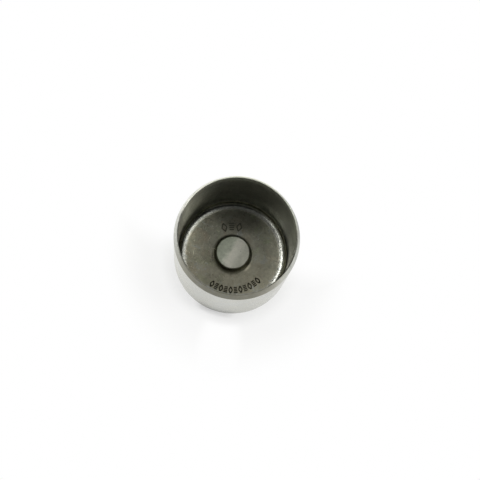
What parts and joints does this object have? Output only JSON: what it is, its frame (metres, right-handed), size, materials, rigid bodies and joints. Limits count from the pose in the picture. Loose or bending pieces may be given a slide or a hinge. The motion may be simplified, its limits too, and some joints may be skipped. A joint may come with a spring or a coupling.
{
  "type": "bucket tappet",
  "caption": "Solid bucket tappet: a thin-walled steel cup with a flat cam face, a raised stem pad inside and a tapered mouth.",
  "frame": {"origin": "middle of the cam face, on which the tappet stands with its open end up", "axes": "+Z along the tappet's axis, from the cam face to the mouth; X and Y are arbitrary, because it is a turned part"},
  "size_m": [0.031, 0.031, 0.0255],
  "materials": {
    "tappet_steel": "ground outside and on the pad, dull and dark from heat treatment inside and on the lead-in"
  },
  "bodies": {
    "root": {"bucket_tappet": "tappet_steel"}
  },
  "joints": []
}
